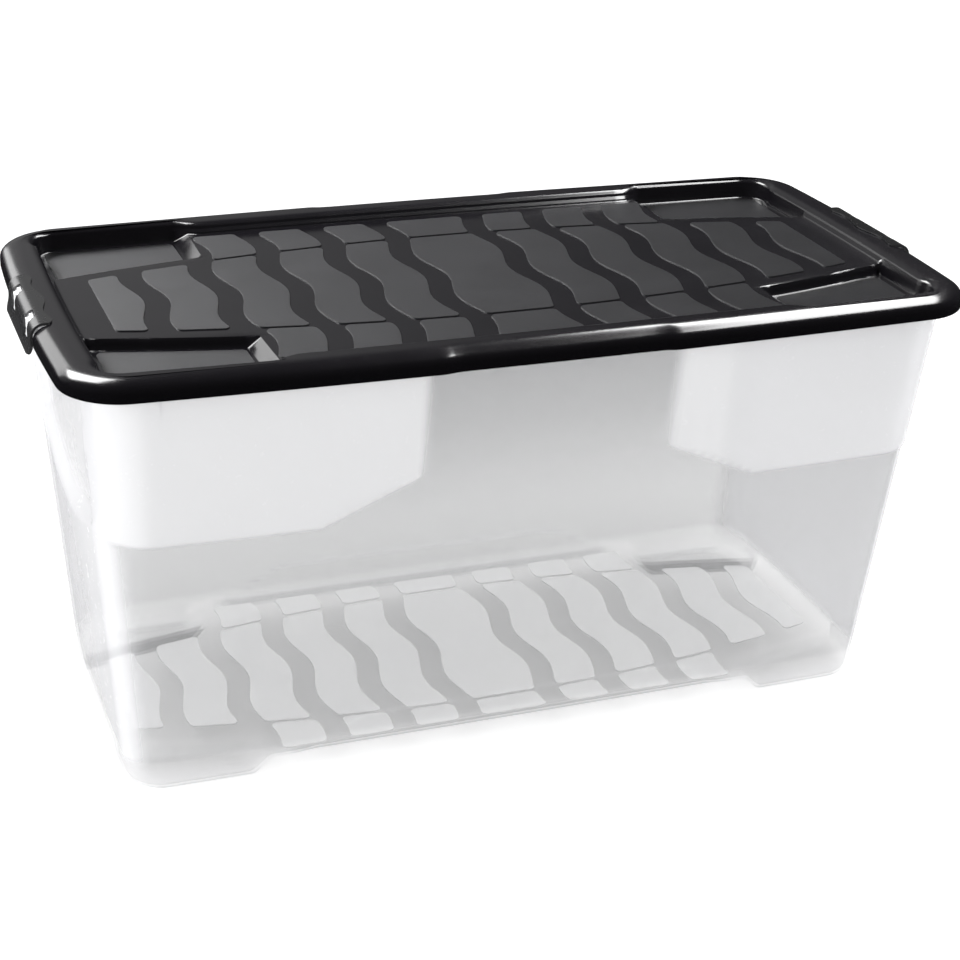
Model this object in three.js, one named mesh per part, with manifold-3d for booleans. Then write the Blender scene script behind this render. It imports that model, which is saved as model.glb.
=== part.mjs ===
// Tall clip-lid storage box: a clear moulded tub on four hollow corner feet, a black lid with a
// stacking recess, and a sprung clip tab at each end of the lid. Millimetres, +Z up, origin under
// the middle of the feet. +X is the long way of the box.
import * as THREE from 'three';
import { mergeVertices } from 'three/addons/utils/BufferGeometryUtils.js';
import Module from 'manifold-3d';

const wasm = await Module();
wasm.setup();

// ---- driving dimensions -------------------------------------------------------------------
const GAP = 0.3;                    // clearance left between touching pieces

// lid plan: corner to corner half sizes, with every side bowed outwards
const LID_HALF_X = 355;
const LID_HALF_Y = 173.5;
const LID_BOW_END = 6.5;
const LID_BOW_SIDE = 9;
const LID_CORNER = 42;
const LID_TOP = 362;
const LID_SKIRT = 17;               // rim top to the lower edge of the skirt
const LID_EDGE_ROUND = 9;
const LID_WALL = 2;
const WAIST_HALF = 85;              // the middle stretch of each long rim stands in a little
const WAIST_DEPTH = 2.4;
const WAIST_BLEND = 14;

// recess in the lid top: a sunk panel, and four deeper pockets that take another box's feet
const PANEL_DEPTH = 9;
const PANEL_HALF_X = 327;
const PANEL_HALF_Y = 147;
const PANEL_BOW_SIDE = 5;
const PANEL_CORNER = 18;
const PANEL_SLOPE = 2.5;            // how far the recess wall leans in on its way down
const POCKET_DEPTH = 8;             // below the panel
const POCKET_HALF_Y = 158;
const POCKET_INNER_X = 203;

// curve that bounds feet and pockets towards the middle of the box
const FOOT_CURVE_Y = 71.5;
const FOOT_CURVE_RISE = 35.7;
const FOOT_CURVE_SPAN = 300;

// tub
const TUB_WALL = 2.2;
const TUB_BASE_HALF_X = 317;
const TUB_BASE_HALF_Y = 126.5;
const TUB_BASE_CORNER = 30;
const TUB_TOP_CORNER = 42;
const TUB_DRAFT = [0.071, 0.1];     // outward lean of end and long walls per unit of height
const TUB_BOW_END = [3, 6.5];       // at the base and at the flange
const TUB_BOW_SIDE = [2, 9];
const FOOT_HEIGHT = 13.5;           // underside of the floor above the ground
const FOOT_SLOPE = 20;              // how far a foot's inner end leans in on its way down
const FOOT_SLOPE_SIDE = 4;
const FLANGE_Z = 350;
const FLANGE_THICK = 2.5;
const FLANGE_INSET = 3;             // flange edge inside the lid outline
const LIP_INSET = 7;
const LIP_TOP = LID_TOP - LID_WALL - 0.8;

// shoulders: the upper corners of the long walls stand out
const SHOULDER_OUT = 5;
const SHOULDER_INNER_X = 92;
const SHOULDER_KNEE_X = 175;
const SHOULDER_LOW_Z = 217;
const SHOULDER_KNEE_RISE = 34;
const SHOULDER_BEVEL_X = 14;
const SHOULDER_BEVEL_Z = 9;

// hand grips: the upper part of each end wall stands in
const GRIP_IN = 9;
const GRIP_LOW_Z = 200;
const GRIP_RISE = 28;
const GRIP_BEVEL_Z = 16;
const GRIP_EDGE_Y = [112, 132];     // half width at its lowest point and at the flange
const GRIP_BEVEL_Y = 10;

// arch: the foot of each long wall stands in between the feet
const ARCH_IN = 2.5;
const ARCH_TOP_Z = 40;
const ARCH_FLAT_X = 125;
const ARCH_END_X = 200;
const ARCH_BEVEL_Z = 5;

// ribs under the flange
const RIB_X = 292;
const RIB_THICK = 1.6;
const RIB_DROP = 24;
const RIB_EDGE = 6;                 // height of its outer edge
const RIB_ROOT = 1;                 // how far it runs into the wall and the flange

// clip tabs
const CLIP_HALF_Y = 54;
const CLIP_THICK = 2;
const CLIP_PROUD = 1;
const CLIP_ROOT_X = 345;
const CLIP_WAVE = 2;
const CLIP_DEPTH = 28;              // from the top of the lid to the end of the tab's lip
const CLIP_RISE = 1.4;              // top of the tab above the lid
const CLIP_STRAIGHT = 4;            // straight drop below the rounded edge
const CLIP_LIP_DROP = 12;           // the flared lip below that, and how far it stands out
const CLIP_LIP_OUT = 3.6;
const NOTCH_X = 349.5;
const CLIP_CORNER = 9;
const WINDOW_Y = 29;
const WINDOW_HALF = 8;
const WINDOW_LOW_Z = 344;
const WINDOW_INNER_X = 355.5;
const LUG_HALF = 6.5;
const LUG_LOW_Z = 345;
const LUG_TOP_Z = 356;
const LUG_CLEAR = 0.5;

const OVERRUN = 5;                  // how far a cutter runs past what it cuts

// how finely an outline is divided
const CORNER_STEPS = 8;
const SIDE_STOPS = [0, 0.1, 0.2, 0.26, 0.29, 0.32, 0.35, 0.4, 0.48, 0.56, 0.64, 0.72, 0.82, 0.92];
const END_STOPS = [0, 0.3, 0.6, 0.8, 0.87, 0.94];

const lerp = (low, high, t) => low + (high - low) * t;
const clamp01 = (t) => Math.min(1, Math.max(0, t));
const smooth = (t) => {
  const c = clamp01(t);
  return c * c * (3 - 2 * c);
};

// ---- outlines -----------------------------------------------------------------------------

// One quarter of a round-cornered outline as stations from the middle of the +X end to the
// middle of the +Y side. turn is 0 on the end, 1 on the side and runs between them on the corner.
function quarterStations(halfX, halfY, corner) {
  const stations = [];
  for (const stop of END_STOPS) {
    stations.push({ x: halfX, y: stop * (halfY - corner), nx: 1, ny: 0, turn: 0 });
  }
  for (let i = 0; i <= CORNER_STEPS; i++) {
    const angle = (Math.PI / 2) * (i / CORNER_STEPS);
    const nx = Math.cos(angle);
    const ny = Math.sin(angle);
    const x = halfX - corner + corner * nx;
    const y = halfY - corner + corner * ny;
    stations.push({ x, y, nx, ny, turn: i / CORNER_STEPS });
  }
  for (const stop of [...SIDE_STOPS].reverse()) {
    stations.push({ x: stop * (halfX - corner), y: halfY, nx: 0, ny: 1, turn: 1 });
  }
  return stations;
}

// The whole outline, anticlockwise. plan holds halfX, halfY, corner, bowEnd and bowSide; offset
// is a function that moves a station along its outward normal.
function outline(plan, offset = () => 0) {
  const quarter = quarterStations(plan.halfX, plan.halfY, plan.corner).map((s) => {
    const bowX = plan.bowEnd * (s.x / plan.halfX) * (1 - (s.y / plan.halfY) ** 2);
    const bowY = plan.bowSide * (s.y / plan.halfY) * (1 - (s.x / plan.halfX) ** 2);
    const out = offset(s);
    return [s.x + bowX + out * s.nx, s.y + bowY + out * s.ny];
  });
  const mirror = (points, sx, sy) => points.map(([x, y]) => [sx * x, sy * y]);
  const back = mirror(quarter, -1, 1).reverse().slice(1);
  const upper = [...quarter, ...back];
  const lower = mirror(upper, 1, -1).reverse().slice(1, -1);
  return [...upper, ...lower];
}

function insetPlan(plan, inset) {
  return {
    ...plan,
    halfX: plan.halfX - inset,
    halfY: plan.halfY - inset,
    corner: Math.max(plan.corner - inset, 1.5),
  };
}

// ---- solids -------------------------------------------------------------------------------

function solidFrom(positions, triangles) {
  const geometry = new THREE.BufferGeometry();
  geometry.setAttribute('position', new THREE.Float32BufferAttribute(positions, 3));
  geometry.setIndex(triangles);
  return solidOf(geometry);
}

function solidOf(geometry) {
  const bare = geometry.clone();
  bare.deleteAttribute('normal');
  bare.deleteAttribute('uv');
  const merged = mergeVertices(bare, 1e-4);
  return new wasm.Manifold(new wasm.Mesh({
    numProp: 3,
    vertProperties: new Float32Array(merged.attributes.position.array),
    triVerts: new Uint32Array(merged.index.array),
  }));
}

// Closed stack of outlines with the same number of points, from the lowest to the highest.
function loft(rings) {
  const count = rings[0].points.length;
  const positions = [];
  const triangles = [];
  rings.forEach(({ points, z }) => points.forEach(([x, y]) => positions.push(x, y, z)));
  for (let level = 0; level + 1 < rings.length; level++) {
    for (let i = 0; i < count; i++) {
      const a = level * count + i;
      const b = level * count + (i + 1) % count;
      triangles.push(a, b, b + count, a, b + count, a + count);
    }
  }
  const faces = THREE.ShapeUtils.triangulateShape(
    rings[0].points.map(([x, y]) => new THREE.Vector2(x, y)), []);
  const top = (rings.length - 1) * count;
  const last = THREE.ShapeUtils.triangulateShape(
    rings[rings.length - 1].points.map(([x, y]) => new THREE.Vector2(x, y)), []);
  faces.forEach(([a, b, c]) => triangles.push(a, c, b));
  last.forEach(([a, b, c]) => triangles.push(top + a, top + b, top + c));
  return solidFrom(positions, triangles);
}

function block(low, high) {
  const box = new THREE.BoxGeometry(high[0] - low[0], high[1] - low[1], high[2] - low[2]);
  box.translate((low[0] + high[0]) / 2, (low[1] + high[1]) / 2, (low[2] + high[2]) / 2);
  return solidOf(box);
}

// Outline in the YZ plane, extruded along X.
function prismAlongX(shape, lowX, highX, curveSegments = 8) {
  const prism = new THREE.ExtrudeGeometry(shape, {
    depth: highX - lowX, bevelEnabled: false, curveSegments,
  });
  prism.applyMatrix4(new THREE.Matrix4().set(0, 0, 1, lowX, 1, 0, 0, 0, 0, 1, 0, 0, 0, 0, 0, 1));
  return solidOf(prism);
}

// Outline in the XZ plane, extruded along Y about y = 0.
function prismAlongY(shape, halfWidth, curveSegments = 8) {
  const prism = new THREE.ExtrudeGeometry(shape, {
    depth: 2 * halfWidth, bevelEnabled: false, curveSegments,
  });
  prism.applyMatrix4(new THREE.Matrix4().set(
    1, 0, 0, 0, 0, 0, -1, halfWidth, 0, 1, 0, 0, 0, 0, 0, 1));
  return solidOf(prism);
}

function mesh(name, solid, material) {
  const { numProp, vertProperties, triVerts } = solid.getMesh();
  const geometry = new THREE.BufferGeometry();
  geometry.setAttribute('position', new THREE.BufferAttribute(new Float32Array(vertProperties), numProp));
  geometry.setIndex(new THREE.BufferAttribute(new Uint32Array(triVerts), 1));
  geometry.computeVertexNormals();
  const result = new THREE.Mesh(geometry, material);
  result.name = name;
  return result;
}

const allCorners = [[1, 1], [-1, 1], [-1, -1], [1, -1]];

// Tapered block that bounds one foot or pocket: its inner edges follow the foot curve, its outer
// edges run to reachX and reachY. levels lists { z, innerX, curveShift }, lowest first.
function cornerBlock([sx, sy], levels, reachX, reachY) {
  const steps = 6;
  const rings = levels.map(({ z, innerX, curveShift }) => {
    const points = [];
    for (let i = 0; i <= steps; i++) {
      const x = lerp(innerX, reachX, i / steps);
      const rise = FOOT_CURVE_RISE * (1 - (x / FOOT_CURVE_SPAN) ** 2);
      points.push([x, FOOT_CURVE_Y + rise + curveShift]);
    }
    points.push([reachX, reachY], [innerX, reachY]);
    const placed = points.map(([x, y]) => [sx * x, sy * y]);
    return { z, points: sx * sy > 0 ? placed : placed.reverse() };
  });
  return loft(rings);
}

// ---- lid ----------------------------------------------------------------------------------

const lidPlan = {
  halfX: LID_HALF_X, halfY: LID_HALF_Y, corner: LID_CORNER,
  bowEnd: LID_BOW_END, bowSide: LID_BOW_SIDE,
};

function waist(station) {
  const inside = 1 - smooth((Math.abs(station.x) - WAIST_HALF + WAIST_BLEND / 2) / WAIST_BLEND);
  return -WAIST_DEPTH * inside * station.ny;
}

function lidRing(inset, z) {
  return { z, points: outline(insetPlan(lidPlan, inset), waist) };
}

function domedRings(inset, low, top, round) {
  const rings = [lidRing(inset, low), lidRing(inset, top - round)];
  const steps = 4;
  for (let i = 1; i <= steps; i++) {
    const angle = (Math.PI / 2) * (i / steps);
    rings.push(lidRing(inset + round * (1 - Math.cos(angle)), top - round + round * Math.sin(angle)));
  }
  return rings;
}

// The sunk panel and the four pockets as one solid, grown by grow on every side.
function recessSolid(grow) {
  const panelZ = LID_TOP - PANEL_DEPTH - grow;
  const pocketZ = panelZ - POCKET_DEPTH;
  const above = LID_TOP + OVERRUN;
  const plan = {
    halfX: PANEL_HALF_X + grow, halfY: PANEL_HALF_Y + grow, corner: PANEL_CORNER + grow,
    bowEnd: LID_BOW_END / 2, bowSide: PANEL_BOW_SIDE,
  };
  const lean = PANEL_SLOPE / PANEL_DEPTH;
  let recess = loft([
    { z: panelZ, points: outline(insetPlan(plan, PANEL_SLOPE)) },
    { z: above, points: outline(insetPlan(plan, PANEL_SLOPE - lean * (above - panelZ))) },
  ]);
  const wide = { ...plan, halfY: POCKET_HALF_Y + grow };
  const reach = loft([
    { z: pocketZ, points: outline(insetPlan(wide, PANEL_SLOPE + lean * POCKET_DEPTH)) },
    { z: above, points: outline(insetPlan(wide, PANEL_SLOPE - lean * (above - panelZ))) },
  ]);
  for (const corner of allCorners) {
    const pocket = cornerBlock(corner, [
      { z: pocketZ, innerX: POCKET_INNER_X - grow + 4, curveShift: 3 - grow },
      { z: panelZ + grow, innerX: POCKET_INNER_X - grow, curveShift: -grow },
      { z: above, innerX: POCKET_INNER_X - grow - 3, curveShift: -grow },
    ], LID_HALF_X + 20, LID_HALF_Y + 20);
    recess = recess.add(pocket.intersect(reach));
  }
  return recess;
}

function lidSolid() {
  const skirtZ = LID_TOP - LID_SKIRT;
  const belowRim = block([-LID_HALF_X, -LID_HALF_Y, 0], [LID_HALF_X, LID_HALF_Y, skirtZ + 2]);
  const outside = loft(domedRings(0, skirtZ, LID_TOP, LID_EDGE_ROUND))
    .add(recessSolid(LID_WALL).intersect(belowRim));
  const inside = loft(domedRings(
    LID_WALL, skirtZ - OVERRUN, LID_TOP - LID_WALL, LID_EDGE_ROUND - LID_WALL));
  let lid = outside.subtract(recessSolid(0)).subtract(inside.subtract(recessSolid(LID_WALL)));
  for (const side of [1, -1]) {
    const near = side * NOTCH_X;
    const far = side * (LID_HALF_X + 30);
    const reach = CLIP_HALF_Y + GAP;
    lid = lid.subtract(block(
      [Math.min(near, far), -reach, skirtZ - OVERRUN],
      [Math.max(near, far), reach, LID_TOP + OVERRUN]));
  }
  return lid;
}

// ---- clip tabs ----------------------------------------------------------------------------

// Section of the tab, from its root on the rim, over the edge and down to the flared lip.
function clipSection() {
  const outerX = LID_HALF_X + LID_BOW_END + CLIP_PROUD;
  const innerX = outerX - CLIP_THICK;
  const topZ = LID_TOP + CLIP_RISE;
  const underZ = LID_TOP + GAP;
  const round = LID_EDGE_ROUND + CLIP_PROUD;
  const centreX = outerX - round;
  const centreZ = topZ - round;
  const stepX = NOTCH_X + GAP;
  const section = new THREE.Shape();
  section.moveTo(CLIP_ROOT_X - CLIP_WAVE, underZ);
  section.lineTo(stepX, underZ);
  section.lineTo(stepX, topZ - CLIP_THICK);
  section.lineTo(centreX, topZ - CLIP_THICK);
  section.absarc(centreX, centreZ, round - CLIP_THICK, Math.PI / 2, 0, true);
  const bendZ = centreZ - CLIP_STRAIGHT;
  const lipZ = bendZ - CLIP_LIP_DROP;
  const halfwayZ = (bendZ + lipZ) / 2;
  const lean = 1.2;
  section.lineTo(innerX, bendZ);
  section.quadraticCurveTo(innerX + 0.8, halfwayZ, innerX + CLIP_LIP_OUT, lipZ);
  section.lineTo(outerX + CLIP_LIP_OUT - 0.6, lipZ + lean);
  section.quadraticCurveTo(outerX + 0.8, halfwayZ + lean, outerX, bendZ);
  section.lineTo(outerX, centreZ);
  section.absarc(centreX, centreZ, round, 0, Math.PI / 2, false);
  section.lineTo(CLIP_ROOT_X - CLIP_WAVE, topZ);
  return section;
}

// Everything inboard of the wavy root edge, to be cut away.
function waveCutter() {
  const steps = 24;
  const half = CLIP_HALF_Y + OVERRUN;
  const edge = [];
  for (let i = 0; i <= steps; i++) {
    const y = lerp(-half, half, i / steps);
    const end = Math.max(0, Math.abs(y) - (CLIP_HALF_Y - CLIP_CORNER)) / CLIP_CORNER;
    const wave = (CLIP_WAVE / 2) * (1 - Math.cos((Math.PI * y) / WINDOW_Y));
    edge.push([CLIP_ROOT_X + wave + OVERRUN * Math.min(1, end) ** 2, y]);
  }
  const inboard = CLIP_ROOT_X - 4 * OVERRUN;
  const points = [...edge, [inboard, half], [inboard, -half]];
  return loft([{ z: LID_TOP, points }, { z: LID_TOP + OVERRUN, points }]);
}

function archWindow(centreY) {
  const top = LID_TOP + OVERRUN;
  const arch = new THREE.Shape();
  arch.moveTo(centreY - WINDOW_HALF, WINDOW_LOW_Z);
  arch.lineTo(centreY + WINDOW_HALF, WINDOW_LOW_Z);
  arch.lineTo(centreY + WINDOW_HALF, top - WINDOW_HALF);
  arch.absarc(centreY, top - WINDOW_HALF, WINDOW_HALF, 0, Math.PI, false);
  return prismAlongX(arch, WINDOW_INNER_X, LID_HALF_X + 30);
}

function clipSolid() {
  const low = LID_TOP - CLIP_DEPTH;
  const high = LID_TOP + OVERRUN;
  const half = CLIP_HALF_Y;
  const face = new THREE.Shape();
  face.moveTo(-half + CLIP_CORNER, low);
  face.lineTo(half - CLIP_CORNER, low);
  face.absarc(half - CLIP_CORNER, low + CLIP_CORNER, CLIP_CORNER, -Math.PI / 2, 0, false);
  face.lineTo(half, high);
  face.lineTo(-half, high);
  face.absarc(-half + CLIP_CORNER, low + CLIP_CORNER, CLIP_CORNER, Math.PI, 1.5 * Math.PI, false);
  let clip = prismAlongY(clipSection(), half + 1).intersect(prismAlongX(face, 300, 400));
  clip = clip.subtract(waveCutter());
  for (const side of [1, -1]) {
    clip = clip.subtract(archWindow(side * WINDOW_Y));
  }
  return clip;
}

// ---- tub ----------------------------------------------------------------------------------

function shoulderMask(station, z) {
  const x = Math.abs(station.x);
  const sideways = smooth((x - SHOULDER_INNER_X) / SHOULDER_BEVEL_X);
  const knee = clamp01((SHOULDER_KNEE_X - x) / (SHOULDER_KNEE_X - SHOULDER_INNER_X - 10));
  const lowZ = SHOULDER_LOW_Z + SHOULDER_KNEE_RISE * knee;
  const upwards = smooth((z - lowZ) / SHOULDER_BEVEL_Z);
  return sideways * upwards * smooth(station.turn);
}

function gripMask(station, z) {
  const edgeY = lerp(GRIP_EDGE_Y[0], GRIP_EDGE_Y[1], (z - GRIP_LOW_Z) / (FLANGE_Z - GRIP_LOW_Z));
  const y = Math.abs(station.y);
  const lowZ = GRIP_LOW_Z + GRIP_RISE * (y / edgeY) ** 2;
  const across = station.turn < 0.5 ? smooth((edgeY - y) / GRIP_BEVEL_Y) : 0;
  return across * smooth((z - lowZ) / GRIP_BEVEL_Z);
}

function archMask(station, z) {
  const along = smooth((ARCH_END_X - Math.abs(station.x)) / (ARCH_END_X - ARCH_FLAT_X));
  const topZ = lerp(FOOT_HEIGHT - ARCH_BEVEL_Z, ARCH_TOP_Z, along);
  return station.ny * smooth((topZ + ARCH_BEVEL_Z - z) / ARCH_BEVEL_Z) * smooth(along * 3);
}

function tubRing(inset, z) {
  const rise = clamp01(z / FLANGE_Z);
  const plan = {
    halfX: TUB_BASE_HALF_X + TUB_DRAFT[0] * z,
    halfY: TUB_BASE_HALF_Y + TUB_DRAFT[1] * z,
    corner: lerp(TUB_BASE_CORNER, TUB_TOP_CORNER, rise),
    bowEnd: lerp(TUB_BOW_END[0], TUB_BOW_END[1], rise),
    bowSide: lerp(TUB_BOW_SIDE[0], TUB_BOW_SIDE[1], rise),
  };
  const offset = (s) => SHOULDER_OUT * shoulderMask(s, z)
    - GRIP_IN * gripMask(s, z) - ARCH_IN * archMask(s, z);
  return { z, points: outline(insetPlan(plan, inset), offset) };
}

const WALL_LEVELS = [16, 36, 41, 46, 120, 200, 208, 217, 221.5, 226, 236, 250, 262];

function footMasks(shrink, top) {
  const low = FOOT_SLOPE;
  const lowSide = FOOT_SLOPE_SIDE;
  return allCorners.map((corner) => cornerBlock(corner, [
    { z: -2, innerX: POCKET_INNER_X + low + shrink, curveShift: lowSide + shrink },
    { z: 2, innerX: POCKET_INNER_X + low + shrink, curveShift: lowSide + shrink },
    { z: top, innerX: POCKET_INNER_X + shrink, curveShift: shrink },
  ], TUB_BASE_HALF_X + 6 * OVERRUN, TUB_BASE_HALF_Y + 6 * OVERRUN));
}

function floorCutter(shrink, top) {
  const wide = TUB_BASE_HALF_X + 5 * OVERRUN;
  const deep = TUB_BASE_HALF_Y + 5 * OVERRUN;
  let cutter = block([-wide, -deep, -1], [wide, deep, top]);
  for (const foot of footMasks(shrink, top + 1)) {
    cutter = cutter.subtract(foot);
  }
  return cutter;
}

function ribSolid([sx, sy]) {
  const lowZ = FLANGE_Z - RIB_DROP;
  const wallY = TUB_BASE_HALF_Y + TUB_DRAFT[1] * lowZ + SHOULDER_OUT;
  const edgeY = LID_HALF_Y - LIP_INSET - 2;
  const rib = new THREE.Shape();
  const rootY = wallY - RIB_ROOT;
  const topZ = FLANGE_Z + RIB_ROOT;
  const points = [[rootY, lowZ], [edgeY, FLANGE_Z - RIB_EDGE], [edgeY, topZ], [rootY, topZ]];
  const placed = points.map(([y, z]) => new THREE.Vector2(sy * y, z));
  rib.setFromPoints(sy > 0 ? placed : placed.reverse());
  return prismAlongX(rib, sx * RIB_X - RIB_THICK / 2, sx * RIB_X + RIB_THICK / 2);
}

function tubSolid() {
  const footRings = [tubRing(4, 0), tubRing(1.3, 1.3), tubRing(0, 5)];
  const wallRings = WALL_LEVELS.map((z) => tubRing(0, z));
  const shell = loft([...footRings, ...wallRings, tubRing(0, FLANGE_Z + 1)])
    .subtract(floorCutter(0, FOOT_HEIGHT));

  const innerFeet = [tubRing(TUB_WALL + 2.5, TUB_WALL), tubRing(TUB_WALL, 6)];
  const innerWalls = WALL_LEVELS.map((z) => tubRing(TUB_WALL, z));
  const cavity = loft([...innerFeet, ...innerWalls, tubRing(TUB_WALL, FLANGE_Z + 10)])
    .subtract(floorCutter(TUB_WALL, FOOT_HEIGHT + TUB_WALL));

  const flangeTop = FLANGE_Z + FLANGE_THICK;
  const flange = loft([lidRing(FLANGE_INSET, FLANGE_Z), lidRing(FLANGE_INSET, flangeTop)]);
  const lip = loft([lidRing(LIP_INSET, FLANGE_Z), lidRing(LIP_INSET, LIP_TOP)]);
  const mouth = loft([
    lidRing(LIP_INSET + TUB_WALL, flangeTop), lidRing(LIP_INSET + TUB_WALL, LIP_TOP + 5)]);
  const flangeRing = flange.add(lip).subtract(mouth);

  let tub = shell.add(flangeRing);
  for (const corner of allCorners) {
    tub = tub.add(ribSolid(corner));
  }
  tub = tub.subtract(cavity);
  const lugInner = LID_HALF_X + LID_BOW_END - LIP_INSET - 1;
  const lugOuter = LID_HALF_X + LID_BOW_END + CLIP_PROUD - CLIP_THICK - LUG_CLEAR;
  for (const side of [1, -1]) {
    for (const row of [1, -1]) {
      const near = side * lugInner;
      const far = side * lugOuter;
      const middle = row * WINDOW_Y;
      tub = tub.add(block(
        [Math.min(near, far), middle - LUG_HALF, LUG_LOW_Z],
        [Math.max(near, far), middle + LUG_HALF, LUG_TOP_Z]));
    }
  }
  return tub;
}

// ---- assembly -----------------------------------------------------------------------------

const clearPlastic = new THREE.MeshStandardMaterial({
  color: 0xe9ebee, roughness: 0.35, metalness: 0, transparent: true, opacity: 0.45,
});
const blackPlastic = new THREE.MeshStandardMaterial({ color: 0x111113, roughness: 0.18, metalness: 0 });

const group = new THREE.Group();
group.add(mesh('box_body', tubSolid(), clearPlastic.clone()));
group.add(mesh('lid', lidSolid(), blackPlastic.clone()));
const clip = clipSolid();
group.add(mesh('clip_right', clip, blackPlastic.clone()));
const clipLeft = mesh('clip_left', clip, blackPlastic.clone());
clipLeft.rotation.z = Math.PI;
group.add(clipLeft);

export default group;
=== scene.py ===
"""Tall clip-lid storage box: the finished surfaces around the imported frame.

The frame gives the bodies, their joints and the box that every piece stays in. The tub, the lid
and the clip tabs are lofted here again at full smoothness from the same few dimensions, the
raised pads are laid out by a Geometry Nodes tree, and the plastics are procedural materials.
Sizes of the box are millimetres; meshes, lamps and the camera are in metres.
"""
import math

import bmesh
import bpy
import numpy as np
from mathutils import Matrix, Vector


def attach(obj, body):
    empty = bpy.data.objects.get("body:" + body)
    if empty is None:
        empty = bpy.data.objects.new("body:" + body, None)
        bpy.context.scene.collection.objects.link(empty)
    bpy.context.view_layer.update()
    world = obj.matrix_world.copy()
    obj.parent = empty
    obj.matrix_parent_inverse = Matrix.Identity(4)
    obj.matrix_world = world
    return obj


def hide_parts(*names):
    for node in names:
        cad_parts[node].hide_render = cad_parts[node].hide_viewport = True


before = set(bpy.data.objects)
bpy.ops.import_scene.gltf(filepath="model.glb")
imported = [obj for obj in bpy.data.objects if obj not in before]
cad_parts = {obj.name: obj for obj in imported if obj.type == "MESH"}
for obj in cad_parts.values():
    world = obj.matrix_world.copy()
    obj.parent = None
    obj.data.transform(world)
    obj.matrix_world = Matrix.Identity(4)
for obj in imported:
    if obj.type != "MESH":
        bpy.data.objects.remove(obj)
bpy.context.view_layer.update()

MM = 0.001

# ---- dimensions, those of the frame unless a comment says otherwise ---
LID_HALF = (355, 173.5)
LID_BOW = (6.5, 8.94)        # a hair less than the frame's, to stay inside its box
LID_CORNER = 42
LID_TOP = 362
LID_SKIRT = 17
LID_ROUND = 9
LID_WALL = 2
RIM_CROWN = (15, 10.5)       # a fatter bead than the frame's
WAIST_HALF = 85
WAIST_DEPTH = 2.4
WAIST_BLEND = 14

PANEL_DEPTH = 9
PANEL_HALF = (327, 147)
PANEL_BOW = (3.25, 5)
PANEL_CORNER = 18
PANEL_SLOPE = 2.5
PANEL_LIP = (7, 4.5)
POCKET_DEPTH = 8
POCKET_HALF_Y = 158
POCKET_INNER_X = 203
POCKET_BLEND = 12
POCKET_SLOPE = 9
POCKET_SIDE_SLOPE = 5
PANEL_FILLET = 1.6
UNDER_FILLET = 1.2
UNDER_LIP_LESS = 1.2
RIM_INNER_DROP = 0.2

FOOT_CURVE_Y = 71.5
FOOT_CURVE_RISE = 35.7
FOOT_CURVE_SPAN = 300

TUB_WALL = 2.2
TUB_BASE_HALF = (317, 126.5)
TUB_CORNER = (30, 42)
TUB_DRAFT = (0.071, 0.1)
TUB_BOW_END = (3, 6.5)
TUB_BOW_SIDE = (2, 9)
TUB_HEEL = 5.5
FOOT_HEIGHT = 13.5
FOOT_SLOPE = 20
FOOT_SIDE_SLOPE = 5
FLANGE_Z = 350
FLANGE_THICK = 2.5
FLANGE_INSET = 3
LIP_INSET = 7
LIP_TOP = 357.4              # lower than the frame's, clear of the rim's fatter bead

SHOULDER_OUT = 5
SHOULDER_INNER_X = 92
SHOULDER_KNEE_X = 175
SHOULDER_LOW_Z = 217
SHOULDER_KNEE_RISE = 34
SHOULDER_BEVEL = (14, 9)
GRIP_IN = 9
GRIP_LOW_Z = 200
GRIP_RISE = 28
GRIP_BEVEL = (10, 16)
GRIP_EDGE_Y = (112, 132)
ARCH_IN = 2.5
ARCH_TOP_Z = 40
ARCH_FLAT_X = 125
ARCH_END_X = 200
ARCH_BEVEL = 5

RIB_X = 292
RIB_THICK = 1.6
RIB_DROP = 24
EDGE_ROUND = 0.35            # on the edges of the ribs and the pads

CLIP_HALF_Y = 54
CLIP_THICK = 2
CLIP_PROUD = 1
CLIP_ROOT_X = 345
CLIP_WAVE = 2
CLIP_CORNER = 9
CLIP_CROWN = 0.4             # how much higher than the rim's offset the tab's top lies
CLIP_SHANK = 4
CLIP_LIP = 11.2
CLIP_FLARE = 3.05            # a little less than the frame's
CLIP_WAVE_MORE = 1.2         # the root edge waves more than the frame's
CLIP_EDGE_MEAN = 3
CLIP_EDGE_TURN = 5
CLIP_ROOT_THICK = 1.1
CLIP_ROOT_STEP = (4.6, 6.2)
CLIP_LIP_THICK = 1.8
CLIP_TRIM = 0.75
CUT_OUT_X = 385              # how far out the cutters of notches and windows reach
NOTCH_X = 349.5
GAP = 0.3
WINDOW_Y = 29
WINDOW_HALF = 8
WINDOW_LOW_Z = 344
WINDOW_INNER_X = 355.5
LUG_HALF = 6.8               # lugs wider and taller than the frame's, to show in the windows
LUG_Z = (345.5, 361)
LUG_ROUND = 2.8

# Raised pads and fields, which the frame leaves out
PAD_CENTRE_HALF = 31.5
PAD_WIDTH = 36.4
PAD_GAP = 19.4
PAD_END_X = 301.5
PAD_LEAST = 5
PAD_WAVE = 4.6
PAD_WAVE_LENGTH = 102
PAD_EDGE_STEP = 5
PAD_ROW_Y = 57.5
PAD_ROW_GAP = 3.2
PAD_LAST_ROW_X = 200
PAD_ROUND = 5
PAD_SINK = 0.2
PAD_RIM_ANGLE = 1.2
LID_PAD_OUTER_Y = 140
LID_PAD_HEIGHT = 1.0
FLOOR_PAD_OUTER_Y = 119.5
FLOOR_PAD_HEIGHT = 0.9
FIELD_HEIGHT = 0.7
FIELD_IN_FROM_SLOPE = 3
FIELD_IN_FROM_END = 4
FIELD_IN_FROM_SIDE = 5

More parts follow.
